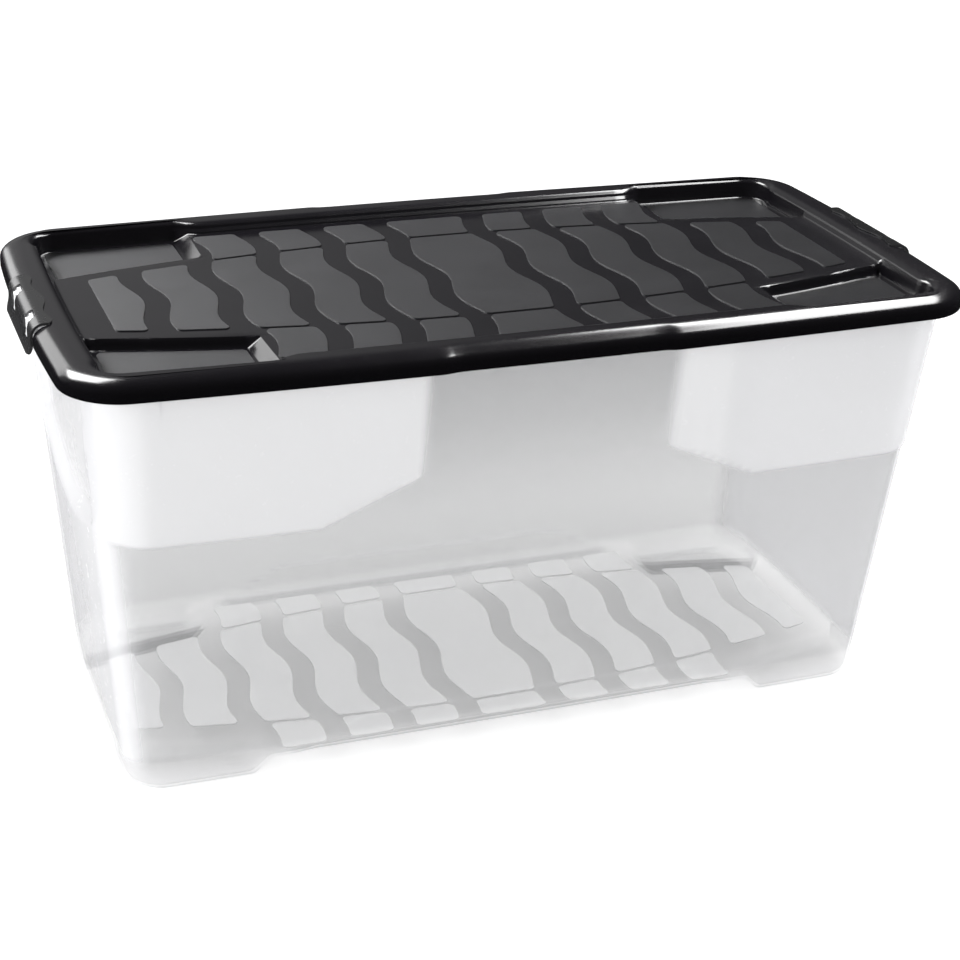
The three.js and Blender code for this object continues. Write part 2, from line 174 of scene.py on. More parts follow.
# ---- how white and how dense the clear plastic looks, from 0 to 1, painted shade and highlight lines included ---
CLEAR_DENSITY = 0.19
PAINTED_SHADE_DENSITY = 0.42
FROST_DENSITY = 0.42
FLOOR_DENSITY = 0.09
PAINTED_LINE_DENSITY = 0.27
FOOT_DENSITY = 0.12
PAINTED_SHADE_FROM = 205             # painted shade: the grey clear wall grows denser, so darker, from this height up towards the lid
PAINTED_SHADE_BLEND = 140
END_FROST_IN = 24
END_FROST_BLEND = 22
SIDE_FROST_IN = 20
# painted light: the floor and the feet are drawn whiter, lifting the shade under the box
LOW_TOP = 30
LOW_BLEND = 14
LOW_WHITENESS = 0.8
WALL_FACE_IN = 9
WALL_FACE_BLEND = 4
HEEL_END = 22
HEEL_RISE = 3
HEEL_BLEND = 6
FOOT_HEEL_RISE = 2.5
FOOT_HEEL_BLEND = 4
FOOT_HEEL_SHADE_SHARE = 0.75
FOOT_DROP = 6
FOOT_BLEND = 5
HEEL_PAINTED_SHADE = 0.45

# ---- lamps, room and camera -------------------------------
# name: (place, aim, size, watts)
LAMPS = {
    "left_corner": ((-0.92, 0.62, 1.62), (-0.34, -0.15, 0.36), (0.9, 1.1), 80),
    "right_front": ((1.125, 0.25, 1.72), (1.125, 0.25, 0), (0.65, 1.9), 88),
    "back_left": ((-1.05, 0.95, 1.15), (-0.2, 0, 0.35), (0.7, 0.5), 112),
    "left_tab": ((-0.86, 1.02, 0.75), (-0.36, 0, 0.35), (0.8, 0.6), 4),
    "left_side": ((-2.2, -0.2, 0.55), (-0.3, 0, 0.2), (1.0, 0.9), 25),
    "right_side": ((2.2, -0.2, 0.55), (0.3, 0, 0.2), (1.0, 0.9), 25),
    "inner_fill": ((0, 0, 1.9), (0, 0, 0), (1.6, 1.2), 36),
}
ROOM_PALE_SIDE = (-0.35, 0.84, 0.42)
ROOM_EDGE = (0.66, 0.97)
ROOM_DARK = 0.03
ROOM_PALE = 0.42
ROOM_FILL = 1.0
WHITE = (1, 1, 1, 1)
FLOOR_SIZE = 60
FLOOR_DROP = 0.0002
FLOOR_GREY = (0.82, 0.82, 0.82, 1)
FLOOR_GLOW = 0.5
FLOOR_MIRRORED = 0.02

VIEW_LENS = 74.99
VIEW_TURN = math.radians(20.99)
VIEW_TILT = math.radians(24.94)
VIEW_ROLL = math.radians(2.05)
VIEW_DISTANCE = 1.6732
VIEW_AIM = Vector((0.0023, 0, 0.1694))
VIEW_SHIFT = 0.0061


# ---- small helpers ----------------------------------------
def lerp(low, high, t):
    return low + (high - low) * t


def smooth(t):
    c = np.clip(t, 0, 1)
    return c * c * (3 - 2 * c)


def shade(mesh, angle=38):
    """Smooth faces, with edges sharper than angle kept crisp."""
    mesh.polygons.foreach_set("use_smooth", [True] * len(mesh.polygons))
    mesh.set_sharp_from_angle(angle=math.radians(angle))


def scene_object(name, data):
    made = bpy.data.objects.new(name, data)
    bpy.context.scene.collection.objects.link(made)
    return made


def new_piece(name, mesh, material, body):
    piece = scene_object(name, mesh)
    mesh.materials.clear()
    mesh.materials.append(material)
    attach(piece, body)
    return piece


def evaluated_mesh(piece):
    """The piece's mesh with its modifiers run, and the modifiers taken off."""
    bpy.context.view_layer.update()
    graph = bpy.context.evaluated_depsgraph_get()
    return bpy.data.meshes.new_from_object(piece.evaluated_get(graph))


def bmesh_to_mesh(bm, name):
    mesh = bpy.data.meshes.new(name)
    bm.to_mesh(mesh)
    bm.free()
    return mesh


def add_node(tree, kind, values=None, **settings):
    """Adds a node with its settings and the constants of its sockets."""
    node = tree.nodes.new(kind)
    for name, value in settings.items():
        setattr(node, name, value)
    for socket, value in (values or {}).items():
        node.inputs[socket].default_value = value
    return node


def add_socket(tree, name, way, kind):
    return tree.interface.new_socket(name, in_out=way, socket_type="NodeSocket" + kind)


def closed_loft(name, at, rings, first_grid, last_grid):
    """Closed skin over rings of (x, y, z) in millimetres, with a grid of quads over each open end."""
    count = len(rings[0])
    points = [np.concatenate(rings)]
    index = np.arange(len(rings) * count).reshape(len(rings), count)
    after = np.roll(index, -1, axis=1)
    faces = np.stack([index[:-1], after[:-1], after[1:], index[1:]], -1).reshape(-1, 4).tolist()
    start = len(rings) * count
    for grid, ring, facing in ((first_grid, index[0], -1), (last_grid, index[-1], 1)):
        inner, cells = grid_cap(at, grid, ring, start)
        points.append(inner)
        start += len(inner)
        faces += [cell[::facing] for cell in cells]
    mesh = bpy.data.meshes.new(name)
    mesh.from_pydata((np.vstack(points) * MM).tolist(), [], faces)
    mesh.update()
    return mesh


def grid_cap(at, grid, ring, start):
    """Mirrors a quarter grid into a whole one whose border is the ring; returns new points and quads."""
    across, deep = at.columns, at.rows
    where = np.empty((2 * across + 1, 2 * deep + 1), int)
    points = []
    for i in range(-across, across + 1):
        for j in range(-deep, deep + 1):
            if abs(i) == across or abs(j) == deep:
                where[i, j] = ring[border_place(i, j, across, deep)]
            else:
                x, y, z = grid[abs(i)][abs(j)]
                where[i, j] = start + len(points)
                points.append((math.copysign(x, i), math.copysign(y, j), z))
    cells = [[where[i, j], where[i + 1, j], where[i + 1, j + 1], where[i, j + 1]]
             for i in range(-across, across) for j in range(-deep, deep)]
    return np.array(points), [[int(k) for k in cell] for cell in cells]


def border_place(i, j, across, deep):
    """Place in the ring of border cell corner (i, j); the ring starts at the middle of the +X end."""
    if i == across:
        return j
    if j == deep:
        return deep + across - i
    if i == -across:
        return 2 * (across + deep) - j
    return 3 * (deep + across) + i


# ---- outlines ---------------------------------------------
CORNER_STEPS = 16
CREASE_NEAR = 0.02
CREASE_FAR = 0.09
CREASE_BAND = 0.07
# (from, to, points) along the straight of a side: close together at the waist and at the pockets
SIDE_RUNS = ((0, 76, 9), (76, 112, 13), (112, 198, 11), (198, 226, 25), (226, 290, 10))


def spread(runs):
    """Even places along each (from, to, points) run, without the end of any run."""
    return np.concatenate([np.linspace(low, high, points)[:-1] for low, high, points in runs])


class Stations:
    """Fixed places round a quarter outline, which are also the border of a grid inside it.

    crease is the share of the straight end where the feet or pockets start; the stations crowd there.
    """

    def __init__(self, crease):
        near, far = crease - CREASE_NEAR, crease + CREASE_FAR
        ends = spread(((0, near, 14), (near, far, 11), (far, 1, 8)))
        sides = spread(SIDE_RUNS) / SIDE_RUNS[-1][1]
        arc = np.linspace(0, 1, CORNER_STEPS + 1)
        self.along_end = np.concatenate([ends, np.ones(len(arc) + len(sides))])
        self.turn = np.concatenate([np.zeros(len(ends)), arc, np.ones(len(sides))])
        self.along_side = np.concatenate([np.ones(len(ends) + len(arc)), sides[::-1]])
        self.rows = len(ends) + CORNER_STEPS // 2
        self.columns = len(sides) + CORNER_STEPS // 2
        self.crease = crease

    def border(self, half_x, half_y, corner):
        """Places (x, y) and outward directions (nx, ny) round the quarter."""
        angle = self.turn * math.pi / 2
        nx, ny = np.cos(angle), np.sin(angle)
        x = self.along_side * (half_x - corner) + corner * nx
        y = self.along_end * (half_y - corner) + corner * ny
        return x, y, nx, ny

    def inside(self, half_x, half_y, corner):
        """Places (x, y) of the quarter grid: straight lines that turn with the round corner."""
        half = CORNER_STEPS // 2
        over = np.arange(1, half + 1) / half
        across = np.concatenate([self.along_side[::-1][:self.columns - half + 1] * (half_x - corner),
                                 half_x - corner + over * corner])[:self.columns + 1]
        deep = np.concatenate([self.along_end[:self.rows - half] * (half_y - corner),
                               [half_y - corner], half_y - corner + over * corner])
        x, y = np.meshgrid(across, deep, indexing="ij")
        a = np.clip((x - half_x + corner) / corner, 0, 1)
        b = np.clip((y - half_y + corner) / corner, 0, 1)
        reach = np.maximum(a, b)
        share = np.where(reach > 0, np.minimum(a, b) / np.where(reach > 0, reach, 1), 0) * math.pi / 4
        angle = np.where(a >= b, share, math.pi / 2 - share)
        turning = (a > 0) & (b > 0)
        x = np.where(turning, half_x - corner + corner * reach * np.cos(angle), x)
        y = np.where(turning, half_y - corner + corner * reach * np.sin(angle), y)
        return x, y


def bowed(x, y, half_x, half_y, bow_x, bow_y):
    return (x + bow_x * (x / half_x) * (1 - (y / half_y) ** 2),
            y + bow_y * (y / half_y) * (1 - (x / half_x) ** 2))


def quarter_outline(at, half_x, half_y, corner, bow_x, bow_y, offset=None):
    """One quarter of a bowed, round-cornered outline. Every size is a number or one per station."""
    x, y, nx, ny = at.border(half_x, half_y, corner)
    out = 0 if offset is None else offset(x, y, nx, ny)
    x_out, y_out = bowed(x, y, half_x, half_y, bow_x, bow_y)
    return x_out + out * nx, y_out + out * ny


def quarter_grid(at, half_x, half_y, corner, bow_x, bow_y, crease_width, widen, height):
    """Grid inside such an outline, its lines gathered along the curved edge of the feet or pockets."""
    x, y = at.inside(half_x, half_y, corner)
    x, y = bowed(x, y, half_x, half_y, bow_x, bow_y)
    y = y + widen(x) * np.clip(y / half_y, 0, 1) ** 3
    edge = half_y + widen(x)
    low = at.crease * (half_y - corner)
    high = (at.crease + CREASE_BAND) * (half_y - corner)
    curve = foot_curve(x)
    towards = np.interp(x, [0, half_x - 3 * corner, half_x - corner, half_x], [1, 1, 0.6, 0])
    gathered = np.where(y < low, y / low * curve, np.where(
        y < high, curve + (y - low) / (high - low) * crease_width,
        curve + crease_width + (y - high) / (edge - high) * (edge - curve - crease_width)))
    fade = towards * np.interp(y / edge, [0, 0.85, 1], [1, 1, 0])
    y = lerp(y, gathered, fade)
    return np.stack([x, y, height(x, y)], -1)


def foot_curve(x):
    return FOOT_CURVE_Y + FOOT_CURVE_RISE * (1 - (x / FOOT_CURVE_SPAN) ** 2)


def whole_ring(x, y, z):
    """Mirrors a quarter into the whole ring, anticlockwise from the middle of the +X end."""
    z = np.broadcast_to(z, x.shape)
    quarter = np.stack([x, y, z], 1)
    left = (quarter * [-1, 1, 1])[::-1][1:]
    upper = np.concatenate([quarter, left])
    lower = (upper * [1, -1, 1])[::-1][1:-1]
    return np.concatenate([upper, lower])


def foot_mask(x, y, end_slope, side_slope, grow=0.0):
    """1 where a foot or pocket lies, 0 on the raised floor or panel, with rounded inner corners."""
    curve = foot_curve(x)
    along = np.clip((np.abs(x) - POCKET_INNER_X + grow) / end_slope, 0, 1)
    across = np.clip((np.abs(y) - curve + grow) / side_slope, 0, 1)
    corner = np.hypot(1 - along, 1 - across)
    return smooth(1 - corner)


# ---- tub --------------------------------------------------
def shoulder_mask(x, z, turn):
    x = np.abs(x)
    sideways = smooth((x - SHOULDER_INNER_X) / SHOULDER_BEVEL[0])
    reach = SHOULDER_KNEE_X - SHOULDER_INNER_X - 10
    knee = np.clip((SHOULDER_KNEE_X - x) / reach, 0, 1)
    low = SHOULDER_LOW_Z + SHOULDER_KNEE_RISE * knee
    return sideways * smooth((z - low) / SHOULDER_BEVEL[1]) * smooth(turn)


def grip_mask(y, z, turn):
    edge = lerp(GRIP_EDGE_Y[0], GRIP_EDGE_Y[1], (z - GRIP_LOW_Z) / (FLANGE_Z - GRIP_LOW_Z))
    low = GRIP_LOW_Z + GRIP_RISE * (np.abs(y) / edge) ** 2
    across = np.where(turn < 0.5, smooth((edge - np.abs(y)) / GRIP_BEVEL[0]), 0)
    return across * smooth((z - low) / GRIP_BEVEL[1])


def arch_mask(x, z, ny):
    along = smooth((ARCH_END_X - np.abs(x)) / (ARCH_END_X - ARCH_FLAT_X))
    top = lerp(FOOT_HEIGHT - ARCH_BEVEL, ARCH_TOP_Z, along)
    return ny * smooth((top + ARCH_BEVEL - z) / ARCH_BEVEL) * smooth(along * 3)


TUB_AT = Stations(crease=0.68)
LID_AT = Stations(crease=0.50)


def tub_sizes(inset, z):
    rise = np.clip(z / FLANGE_Z, 0, 1)
    return (TUB_BASE_HALF[0] + TUB_DRAFT[0] * z - inset, TUB_BASE_HALF[1] + TUB_DRAFT[1] * z - inset,
            lerp(*TUB_CORNER, rise) - inset, lerp(*TUB_BOW_END, rise), lerp(*TUB_BOW_SIDE, rise))


def tub_quarter(inset, z):
    """The tub's wall at height z, moved inwards by inset. z is a number or one per station."""
    z = np.broadcast_to(np.asarray(z, float), TUB_AT.turn.shape)

    def offset(x, y, nx, ny):
        return (SHOULDER_OUT * shoulder_mask(x, z, TUB_AT.turn) - GRIP_IN * grip_mask(y, z, TUB_AT.turn)
                - ARCH_IN * arch_mask(x, z, ny))

    return quarter_outline(TUB_AT, *tub_sizes(inset, z), offset)


def tub_floor_z(x, y, shrink, lift):
    mask = foot_mask(x, y, FOOT_SLOPE, FOOT_SIDE_SLOPE, -shrink)
    return lift + FOOT_HEIGHT * (1 - mask)


WALL_LEVELS = np.concatenate([
    np.linspace(24, 50, 14), np.linspace(70, 185, 6), np.linspace(196, 266, 36),
    np.linspace(280, 346, 6)])


def tub_side_rings(inset, lift, heel, top_z):
    """Rings from the edge of the floor, over the heel and up the wall to top_z."""
    edge_x, edge_y = tub_quarter(inset, 4)
    bottom = tub_floor_z(edge_x, edge_y, inset, lift)
    rings = []
    steps = 6
    for step in range(steps + 1):
        angle = math.pi / 2 * (1 - step / steps)
        z = bottom + heel * (1 - math.sin(angle))
        x, y = tub_quarter(inset + heel * (1 - math.cos(angle)), z)
        rings.append((x, y, z))
    start = bottom + heel
    for z in WALL_LEVELS:
        level = np.maximum(z, start + 1.0 + (z - WALL_LEVELS[0]) * 0.2)
        x, y = tub_quarter(inset, level)
        rings.append((x, y, level))
    x, y = tub_quarter(inset, top_z)
    rings.append((x, y, top_z))
    return [whole_ring(*ring) for ring in rings]


def tub_floor_grid(inset, lift, heel):
    def no_widening(x):
        return 0 * x
    return quarter_grid(TUB_AT, *tub_sizes(inset + heel, FOOT_HEIGHT), FOOT_SIDE_SLOPE, no_widening,
                        lambda x, y: tub_floor_z(x, y, inset, lift))


def waist_offset(x, y, nx, ny):
    inside = 1 - smooth((np.abs(x) - WAIST_HALF + WAIST_BLEND / 2) / WAIST_BLEND)
    return -WAIST_DEPTH * inside * ny


def lid_quarter(at, inset):
    return quarter_outline(at, LID_HALF[0] - inset, LID_HALF[1] - inset, LID_CORNER - inset,
                           *LID_BOW, waist_offset)


def lid_ring(at, inset, z):
    return whole_ring(*lid_quarter(at, inset), z)


def tub_rim_rings():
    """Flange and lip, from under the flange, round its edge and over the lip."""
    top = FLANGE_Z + FLANGE_THICK
    inner = LIP_INSET + TUB_WALL
    section = [
        (FLANGE_INSET + 0.6, FLANGE_Z), (FLANGE_INSET, FLANGE_Z + 0.6), (FLANGE_INSET, top - 0.6),
        (FLANGE_INSET + 0.6, top), (LIP_INSET - 0.8, top), (LIP_INSET, top + 0.8),
        (LIP_INSET, LIP_TOP - 0.8), (LIP_INSET + 0.8, LIP_TOP), (inner - 0.8, LIP_TOP),
        (inner, LIP_TOP - 0.8), (inner, top + 0.8), (inner + 0.8, top)]
    return [lid_ring(TUB_AT, inset, z) for inset, z in section]


def make_tub(material):
    heel_in = TUB_HEEL - 1.5
    outside = tub_side_rings(0, 0, TUB_HEEL, FLANGE_Z)
    inside = tub_side_rings(TUB_WALL, TUB_WALL, heel_in, FLANGE_Z + FLANGE_THICK)
    mesh = closed_loft("tub", TUB_AT, outside + tub_rim_rings() + inside[::-1],
                       tub_floor_grid(0, 0, TUB_HEEL), tub_floor_grid(TUB_WALL, TUB_WALL, heel_in))
    paint_frost_and_light(mesh)
    shade(mesh)
    tub = new_piece("tub", mesh, material, "box")
    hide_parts("box_body")
    return tub


def paint_frost_and_light(mesh):
    """Stores how white and how dense the plastic looks: frosted shoulders and ends, else clear, with
    painted light: whiter floor and feet, shade towards the rim, dark heel lines and white arch lines.
    """
    x, y, z = (vertex_places(mesh) / MM).T
    frost_x = TUB_BASE_HALF[0] - END_FROST_IN + TUB_DRAFT[0] * z
    on_end = smooth((np.abs(x) - frost_x) / END_FROST_BLEND)
    on_side = shoulder_mask(x, z, np.ones_like(x)) * (np.abs(y) > TUB_BASE_HALF[1] - SIDE_FROST_IN)
    # Whiter low down and in the feet: painted light that lifts the shade under the box.
    low = smooth((LOW_TOP - z) / LOW_BLEND)
    frost_and_painted_light = np.maximum.reduce([on_end, on_side, LOW_WHITENESS * low])
    upper = np.maximum(on_end, on_side)
    # Painted shade: the clear wall grows denser and so greyer up towards the rim, standing in for the
    # shade under the lid.
    clear = lerp(CLEAR_DENSITY, PAINTED_SHADE_DENSITY, smooth((z - PAINTED_SHADE_FROM) / PAINTED_SHADE_BLEND))
    density = lerp(lerp(clear, FROST_DENSITY, upper), FLOOR_DENSITY, low)

    # Painted shade: darker grey lines along the heels of the floor and of the feet, where the floor turns
    # into the wall.
    near_wall = smooth((np.abs(y) - TUB_BASE_HALF[1] + WALL_FACE_IN) / WALL_FACE_BLEND)
    between_feet = 1 - smooth((np.abs(x) - ARCH_END_X + HEEL_END) / HEEL_END)
    heel = near_wall * (1 - smooth((z - FOOT_HEIGHT - HEEL_RISE) / HEEL_BLEND)) * between_feet
    foot_heel_shade = near_wall * (1 - smooth((z - FOOT_HEEL_RISE) / FOOT_HEEL_BLEND)) * FOOT_HEEL_SHADE_SHARE
    # Painted highlight: a thin white, denser line along the edge of the arch recess.
    arch = arch_mask(x, z, 1.0)
    arch_highlight_line = near_wall * 4 * arch * (1 - arch)
    edges = np.maximum.reduce([heel, foot_heel_shade, arch_highlight_line])
    in_foot = 1 - smooth((z - FOOT_HEIGHT + FOOT_DROP) / FOOT_BLEND)
    density = np.maximum.reduce([density, PAINTED_LINE_DENSITY * edges, FOOT_DENSITY * in_foot])
    # The heels lose whiteness and gain density as painted shade; the arch edges turn white as a painted
    # highlight.
    frost_and_painted_light = np.minimum(np.maximum(frost_and_painted_light, in_foot), 1 - HEEL_PAINTED_SHADE * np.maximum(heel, foot_heel_shade))
    frost_and_painted_light = np.maximum(frost_and_painted_light, arch_highlight_line)
    for name, values in (("frost_and_painted_light", frost_and_painted_light), ("milkiness_and_painted_light", density)):
        stored = mesh.attributes.new(name, "FLOAT", "POINT")
        stored.data.foreach_set("value", values.astype(np.float32))


def vertex_places(mesh):
    places = np.empty(len(mesh.vertices) * 3, np.float32)
    mesh.vertices.foreach_get("co", places)
    return places.reshape(-1, 3).astype(float)


def rounded_block(bm, low, high, round_by):
    """Adds a block between two corners, in millimetres, with its edges rounded."""
    made = bmesh.ops.create_cube(bm, size=1)["verts"]
    centre = (Vector(low) + Vector(high)) / 2 * MM
    size = (Vector(high) - Vector(low)) * MM
    for vert in made:
        vert.co = centre + Vector((vert.co.x * size.x, vert.co.y * size.y, vert.co.z * size.z))
    edges = {edge for vert in made for edge in vert.link_edges}
    bmesh.ops.bevel(bm, geom=list(edges), offset=round_by * MM, segments=3, affect="EDGES")


def make_lugs(material):
    """Four lugs on the flange that the clip windows drop over, two at each end."""
    bm = bmesh.new()
    inner = LID_HALF[0] + LID_BOW[0] - LIP_INSET - 1
    outer = LID_HALF[0] + LID_BOW[0] + CLIP_PROUD - 1.3
    for side in (1, -1):
        for row in (1, -1):
            x = sorted((side * inner, side * outer))
            y = row * WINDOW_Y
            rounded_block(bm, (x[0], y - LUG_HALF, LUG_Z[0]), (x[1], y + LUG_HALF, LUG_Z[1]), LUG_ROUND)
    mesh = bmesh_to_mesh(bm, "clip_lugs")
    shade(mesh)
    return new_piece("clip_lugs", mesh, material, "box")


def make_ribs(material):
    """Thin webs under the flange near each corner of the long walls."""
    low = FLANGE_Z - RIB_DROP
    wall_y = TUB_BASE_HALF[1] + TUB_DRAFT[1] * low + SHOULDER_OUT
    edge_y = LID_HALF[1] - LIP_INSET - 2
    top = FLANGE_Z + 0.4
    profile = [(wall_y - 1, low), (edge_y, FLANGE_Z - 6), (edge_y, top), (wall_y - 1, top)]
    bm = bmesh.new()
    for sx in (1, -1):
        for sy in (1, -1):
            near = [bm.verts.new(Vector((sx * RIB_X - RIB_THICK / 2, sy * y, z)) * MM) for y, z in profile]
            far = [bm.verts.new(Vector((sx * RIB_X + RIB_THICK / 2, sy * y, z)) * MM) for y, z in profile]
            bm.faces.new(near)
            bm.faces.new(far[::-1])
            for i in range(4):
                j = (i + 1) % 4
                bm.faces.new((near[j], near[i], far[i], far[j]))
    bmesh.ops.recalc_face_normals(bm, faces=bm.faces)
    bmesh.ops.bevel(bm, geom=bm.edges[:], offset=EDGE_ROUND * MM, segments=2, affect="EDGES")
    mesh = bmesh_to_mesh(bm, "flange_ribs")
    paint_frost_and_light(mesh)
    shade(mesh)
    return new_piece("flange_ribs", mesh, material, "box")


# ---- lid --------------------------------------------------
def recess_sizes(grow):
    return (PANEL_HALF[0] + grow, PANEL_HALF[1] + grow, PANEL_CORNER + grow, *PANEL_BOW)


def pocket_widening(x):
    """How much further out the recess wall stands beside the pockets."""
    return (POCKET_HALF_Y - PANEL_HALF[1]) * smooth((np.abs(x) - POCKET_INNER_X + POCKET_BLEND / 2)
                                                    / POCKET_BLEND)


def recess_quarter(grow):
    return quarter_outline(LID_AT, *recess_sizes(grow), lambda x, y, nx, ny: pocket_widening(x) * ny)


def panel_z(x, y, drop=0.0, grow=0.0):
    mask = foot_mask(x, y, POCKET_SLOPE, POCKET_SIDE_SLOPE, grow)
    return LID_TOP - PANEL_DEPTH - drop - POCKET_DEPTH * mask


def recess_rings(grow, top_z, drop, lip, fillet):
    """Rings from the rim's inner edge down the recess wall to the edge of the panel."""
    rings = []
    across, deep = lip
    steps = 6
    for step in range(steps + 1):
        angle = math.pi / 2 * step / steps
        x, y = recess_quarter(grow + across * (1 - math.sin(angle)))
        rings.append((x, y, top_z - deep * (1 - math.cos(angle))))
    base_x, base_y = recess_quarter(grow - PANEL_SLOPE)
    bottom = panel_z(base_x, base_y, drop, grow)
    for share in np.linspace(0.15, 1, 6):
        x, y = recess_quarter(grow - PANEL_SLOPE * share)
        rings.append((x, y, lerp(top_z - deep, bottom + fillet, share)))
    steps = 4
    for step in range(1, steps + 1):
        angle = math.pi / 2 * step / steps
        x, y = recess_quarter(grow - PANEL_SLOPE - fillet * (1 - math.cos(angle)))
        rings.append((x, y, bottom + fillet * (1 - math.sin(angle))))
    return [whole_ring(*ring) for ring in rings]


def panel_grid(grow, drop, fillet):
    return quarter_grid(LID_AT, *recess_sizes(grow - PANEL_SLOPE - fillet), POCKET_SIDE_SLOPE,
                        pocket_widening, lambda x, y: panel_z(x, y, drop, grow))


def rim_rings(inset, low, top, crown, inner_ring):
    """Rings up the skirt, over the crowned edge and in across the rim."""
    edge = inset + 0.5 * (1 if inset == 0 else -1)
    across, drop = crown
    rings = [lid_ring(LID_AT, edge, low), lid_ring(LID_AT, inset, low + 0.5)]
    rings += [lid_ring(LID_AT, inset, z) for z in np.linspace(low + 2, top - drop, 3)]
    steps = 14
    for step in range(1, steps + 1):
        angle = math.pi / 2 * step / steps
        rings.append(lid_ring(LID_AT, inset + across * (1 - math.cos(angle)),
                              top - drop + drop * math.sin(angle)))
    flat = rings[-1]
    rings += [lerp(flat, inner_ring, share) for share in (0.3, 0.7)]
    return rings


def cut(target, cutter_mesh, name):
    """Takes the cutter's volume out of the target object's mesh."""
    cutter = scene_object(name, cutter_mesh)
    modifier = target.modifiers.new(name, "BOOLEAN")
    modifier.operation = "DIFFERENCE"
    modifier.solver = "MANIFOLD"
    modifier.object = cutter
    mesh = evaluated_mesh(target)
    target.modifiers.remove(modifier)
    old = target.data
    target.data = mesh
    bpy.data.meshes.remove(old)
    bpy.data.objects.remove(cutter)


def notch_cutter():
    bm = bmesh.new()
    reach = CLIP_HALF_Y + GAP
    for side in (1, -1):
        x = sorted((side * NOTCH_X, side * CUT_OUT_X))
        rounded_block(bm, (x[0], -reach, LID_TOP - 60), (x[1], reach, LID_TOP + 30), 0.5)
    return bmesh_to_mesh(bm, "notch_cutter")


def make_lid(material):
    skirt = LID_TOP - LID_SKIRT
    top_recess = recess_rings(0, LID_TOP - RIM_INNER_DROP, 0, PANEL_LIP, PANEL_FILLET)
    lip_below = (PANEL_LIP[0] - UNDER_LIP_LESS, PANEL_LIP[1] - UNDER_LIP_LESS)
    under_recess = recess_rings(LID_WALL, LID_TOP - LID_WALL, LID_WALL, lip_below, UNDER_FILLET)
    crown_below = (RIM_CROWN[0] - LID_WALL, RIM_CROWN[1] - LID_WALL)
    outside = rim_rings(0, skirt, LID_TOP, RIM_CROWN, top_recess[0])
    inside = rim_rings(LID_WALL, skirt, LID_TOP - LID_WALL, crown_below, under_recess[0])
    mesh = closed_loft("lid_shell", LID_AT, under_recess[::-1] + inside[::-1] + outside + top_recess,
                       panel_grid(LID_WALL, LID_WALL, UNDER_FILLET), panel_grid(0, 0, PANEL_FILLET))
    lid = scene_object("lid_shell", mesh)
    cut(lid, notch_cutter(), "notch")
    lid.data.materials.clear()
    lid.data.materials.append(material)
    shade(lid.data)
    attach(lid, "lid")
    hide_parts("lid")
    return lid


# ---- clip tabs --------------------------------------------
def clip_path():
    """The tab's middle line in the XZ plane, from the root to the lip, as dense points."""
    outer = LID_HALF[0] + LID_BOW[0] + CLIP_PROUD - CLIP_THICK / 2
    top = LID_TOP + CLIP_PROUD + CLIP_CROWN - CLIP_THICK / 2
    round_by = LID_ROUND + CLIP_PROUD - CLIP_THICK / 2
    centre = (outer - round_by, top - round_by)
    line = [(x, top) for x in np.linspace(CLIP_ROOT_X - CLIP_WAVE, centre[0], 8)[:-1]]
    for angle in np.linspace(math.pi / 2, 0, 15):
        line.append((centre[0] + round_by * math.cos(angle), centre[1] + round_by * math.sin(angle)))
    down = centre[1] - CLIP_SHANK
    line.append((outer, down))
    for t in np.linspace(0.15, 1, 8):
        line.append((outer + CLIP_FLARE * t ** 2, down - CLIP_LIP * t))
    return np.array(line)


def clip_wave(y):
    """How far along the middle line the tab's root edge starts at y."""
    end = np.clip((abs(y) - (CLIP_HALF_Y - CLIP_CORNER)) / CLIP_CORNER, 0, 1)
    wave = -CLIP_WAVE * math.cos(math.pi * y / WINDOW_Y)
    return CLIP_EDGE_MEAN + wave * CLIP_WAVE_MORE + CLIP_EDGE_TURN * end ** 2


def clip_mesh():
    """Sweeps the tab's section along Y; the root edge waves and the corners round off."""
    path = clip_path()
    step = np.hypot(*np.diff(path, axis=0).T)
    length = np.concatenate([[0], np.cumsum(step)])
    half = CLIP_HALF_Y
    rows = np.concatenate([
        -half + CLIP_CORNER * (1 - np.cos(np.linspace(0, math.pi / 2, 9)))[:-1],
        np.linspace(-half + CLIP_CORNER, half - CLIP_CORNER, 49),
        half - CLIP_CORNER * (1 - np.cos(np.linspace(math.pi / 2, 0, 9)))[1:]])
    count = 34
    rings = []
    for y in rows:
        into = np.clip((abs(y) - (half - CLIP_CORNER)) / CLIP_CORNER, 0, 1)
        trim = CLIP_CORNER * (1 - math.sqrt(max(0.0, 1 - into ** 2)))
        where = np.linspace(clip_wave(y), length[-1] - trim * CLIP_TRIM, count)
        x = np.interp(where, length, path[:, 0])
        z = np.interp(where, length, path[:, 1])
        dx, dz = np.gradient(x), np.gradient(z)
        size = np.hypot(dx, dz)
        nx, nz = -dz / size, dx / size
        thick = np.interp(where, [0, *CLIP_ROOT_STEP, length[-1]],
                          [CLIP_ROOT_THICK, CLIP_ROOT_THICK, CLIP_THICK, CLIP_LIP_THICK])
        top = np.stack([x + nx * CLIP_THICK / 2, np.full(count, y), z + nz * CLIP_THICK / 2], 1)
        low = np.stack([x + nx * (CLIP_THICK / 2 - thick), np.full(count, y),
                        z + nz * (CLIP_THICK / 2 - thick)], 1)
        rings.append(np.concatenate([top, low[::-1]]))
    size = 2 * count
    vertices = np.concatenate(rings) * MM
    faces = []
    for r in range(len(rings) - 1):
        for i in range(size):
            j = (i + 1) % size
            faces.append((r * size + i, r * size + j, (r + 1) * size + j, (r + 1) * size + i))
    for i in range(count - 1):
        faces.append((i, size - 1 - i, size - 2 - i, i + 1))
        last = (len(rings) - 1) * size
        faces.append((last + i, last + i + 1, last + size - 2 - i, last + size - 1 - i))
    mesh = bpy.data.meshes.new("clip_tab")
    mesh.from_pydata(vertices.tolist(), [], faces)
    bm = bmesh.new()
    bm.from_mesh(mesh)
    bmesh.ops.recalc_face_normals(bm, faces=bm.faces)
    bm.to_mesh(mesh)
    bm.free()
    return mesh


